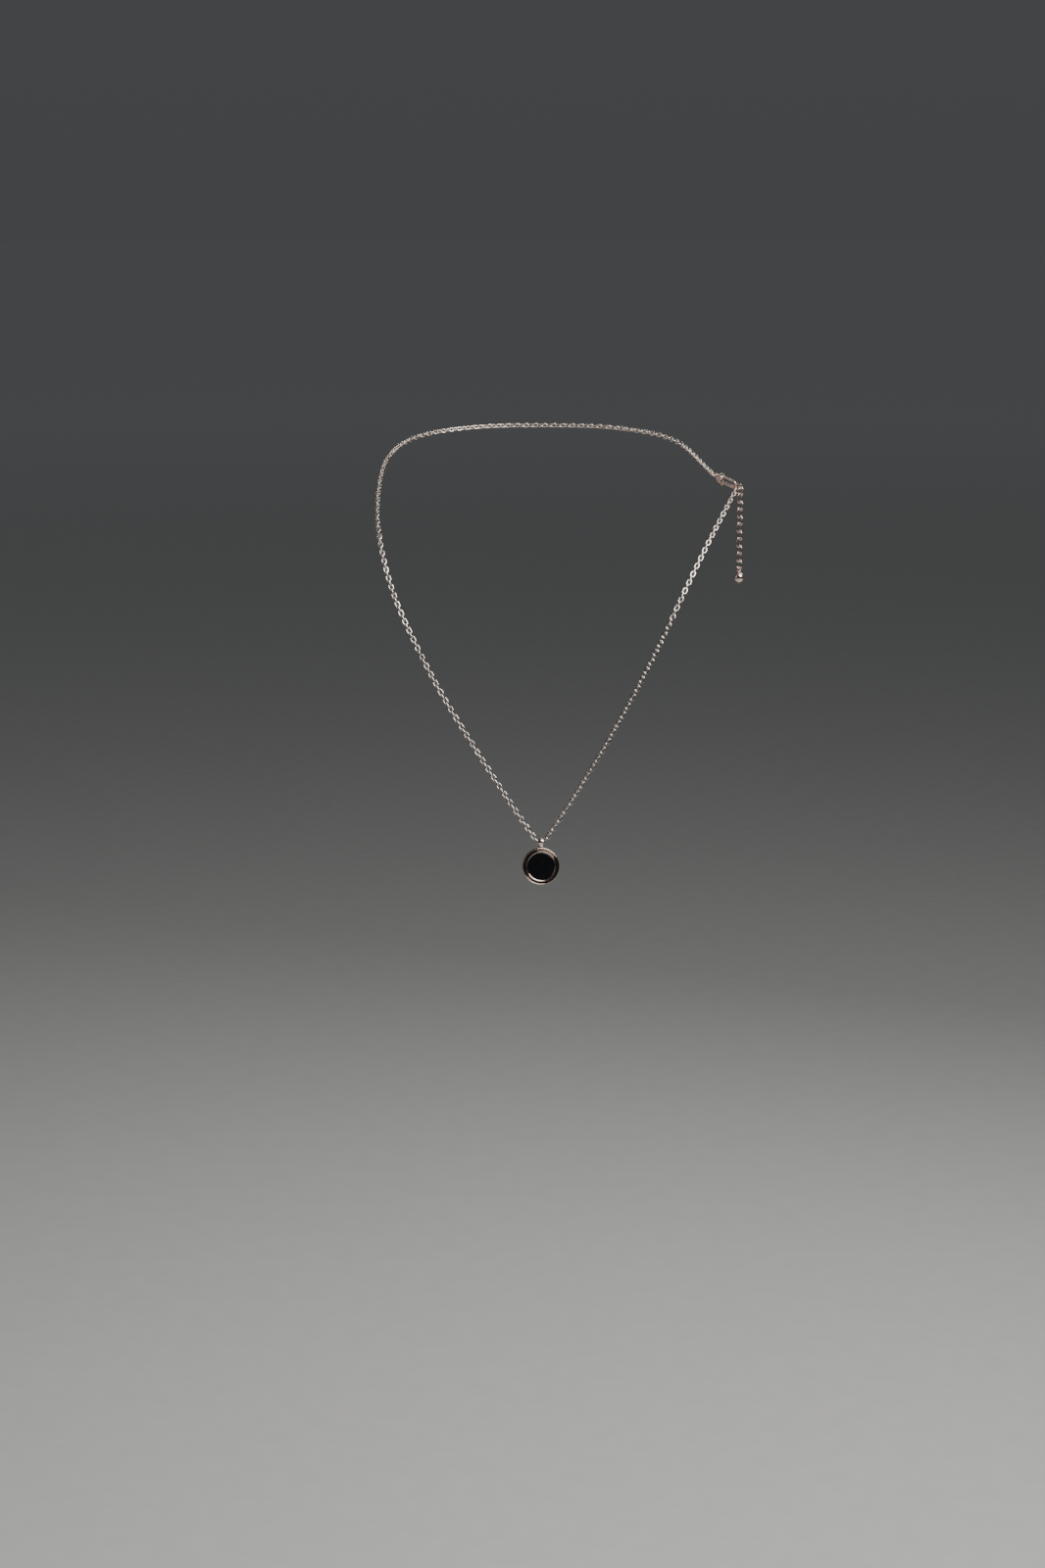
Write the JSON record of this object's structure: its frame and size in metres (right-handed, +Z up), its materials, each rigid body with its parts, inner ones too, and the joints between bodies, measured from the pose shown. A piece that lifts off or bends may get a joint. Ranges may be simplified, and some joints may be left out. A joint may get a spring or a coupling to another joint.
{
  "type": "pendant necklace",
  "caption": "Fine cable-chain necklace with a round black stone pendant in a metal case, a lobster clasp and a short extender chain, draped as worn.",
  "frame": {"origin": "middle of the chain at the back of the neck (the nape)", "axes": "+X to the right as seen from the front, +Y towards the wearer's back, +Z up"},
  "size_m": [0.12, 0.1092, 0.1365],
  "materials": {
    "chain": "gloss",
    "rings": "gloss",
    "clasp": "gloss",
    "rivet": "gloss",
    "spring": "satin",
    "extender": "gloss",
    "drop": "gloss",
    "pendant_case": "polished",
    "bail": "polished",
    "stone": "polished"
  },
  "bodies": {
    "back": {"left_shoulder_chain": "chain", "left_neck_chain": "chain", "left_nape_chain": "chain", "right_nape_chain": "chain", "right_neck_chain": "chain", "right_shoulder_chain": "chain", "jump_ring": "rings", "end_ring": "rings"},
    "clasp": {"clasp_body": "clasp", "clasp_pin": "rivet", "clasp_spring": "spring"},
    "clasp_lever": {"clasp_lever": "clasp"},
    "front_1": {"left_front_1": "chain", "right_front_1": "chain"},
    "front_2": {"left_front_2": "chain", "right_front_2": "chain"},
    "front_3": {"left_front_3": "chain", "right_front_3": "chain"},
    "front_4": {"left_front_4": "chain", "right_front_4": "chain"},
    "front_5": {"left_front_5": "chain", "right_front_5": "chain"},
    "front_6": {"left_front_6": "chain", "right_front_6": "chain", "bail_links": "chain"},
    "bail": {"bail": "bail"},
    "pendant": {"eyelet": "bail", "case": "pendant_case", "bezel": "pendant_case", "stone": "stone"},
    "extender_1": {"extender_upper": "extender"},
    "extender_2": {"extender_middle": "extender"},
    "extender_3": {"extender_lower": "extender"},
    "drop": {"drop_pin": "drop", "drop_bead": "drop"}
  },
  "joints": [
    {"name": "front_fold_1", "type": "hinge", "parent": "back", "child": "front_1", "pos_m": [0.00351, -0.05491, -0.01648], "axis": [-0.9999, 0.0148, 0.0013], "range_deg": [0, 22]},
    {"name": "front_fold_2", "type": "hinge", "parent": "front_1", "child": "front_2", "pos_m": [-0.00086, -0.07257, -0.03303], "axis": [-1, 0.0004, -0.0068], "range_deg": [0, 22]},
    {"name": "front_fold_3", "type": "hinge", "parent": "front_2", "child": "front_3", "pos_m": [-0.00307, -0.08343, -0.04896], "axis": [-0.9999, 0.0105, 0.0118], "range_deg": [0, 22]},
    {"name": "front_fold_4", "type": "hinge", "parent": "front_3", "child": "front_4", "pos_m": [-0.00333, -0.09033, -0.06484], "axis": [-0.9998, -0.0003, 0.0193], "range_deg": [0, 22]},
    {"name": "front_fold_5", "type": "hinge", "parent": "front_4", "child": "front_5", "pos_m": [-0.00239, -0.09707, -0.08749], "axis": [-0.9998, -0.0077, -0.0179], "range_deg": [0, 22]},
    {"name": "front_fold_6", "type": "hinge", "parent": "front_5", "child": "front_6", "pos_m": [-0.00213, -0.10111, -0.10598], "axis": [-0.9999, -0.0051, -0.0143], "range_deg": [0, 22]},
    {"name": "bail_swing", "type": "hinge", "parent": "front_6", "child": "bail", "pos_m": [-0.002, -0.10427, -0.1225], "axis": [-1, 0, 0], "range_deg": [0, 100]},
    {"name": "pendant_tilt", "type": "hinge", "parent": "bail", "child": "pendant", "pos_m": [-0.002, -0.10469, -0.12435], "axis": [-0.1392, 0.9649, -0.2228], "range_deg": [-20, 20]},
    {"name": "clasp_roll", "type": "hinge", "parent": "back", "child": "clasp", "pos_m": [0.06201, -0.05491, -0.01577], "axis": [0.7189, -0.6155, -0.3229], "range_deg": [-18, 18]},
    {"name": "clasp_lever_press", "type": "hinge", "parent": "clasp", "child": "clasp_lever", "pos_m": [0.05673, -0.05012, -0.01404], "axis": [-0.6938, -0.6637, -0.2795], "range_deg": [0, 12], "stiffness_Nm_per_rad": 0.00002, "springref_deg": -17.19},
    {"name": "extender_swing_1", "type": "hinge", "parent": "back", "child": "extender_1", "pos_m": [0.06293, -0.0557, -0.01618], "axis": [0.8024, 0.5968, 0], "range_deg": [-35, 35]},
    {"name": "extender_swing_2", "type": "hinge", "parent": "extender_1", "child": "extender_2", "pos_m": [0.06293, -0.0557, -0.02578], "axis": [0.8024, 0.5968, 0], "range_deg": [-35, 35]},
    {"name": "extender_swing_3", "type": "hinge", "parent": "extender_2", "child": "extender_3", "pos_m": [0.06293, -0.0557, -0.03298], "axis": [0.5968, -0.8024, 0], "range_deg": [-35, 35]},
    {"name": "drop_swing", "type": "hinge", "parent": "extender_3", "child": "drop", "pos_m": [0.06293, -0.0557, -0.04258], "axis": [0.5968, -0.8024, 0], "range_deg": [-40, 40]}
  ]
}
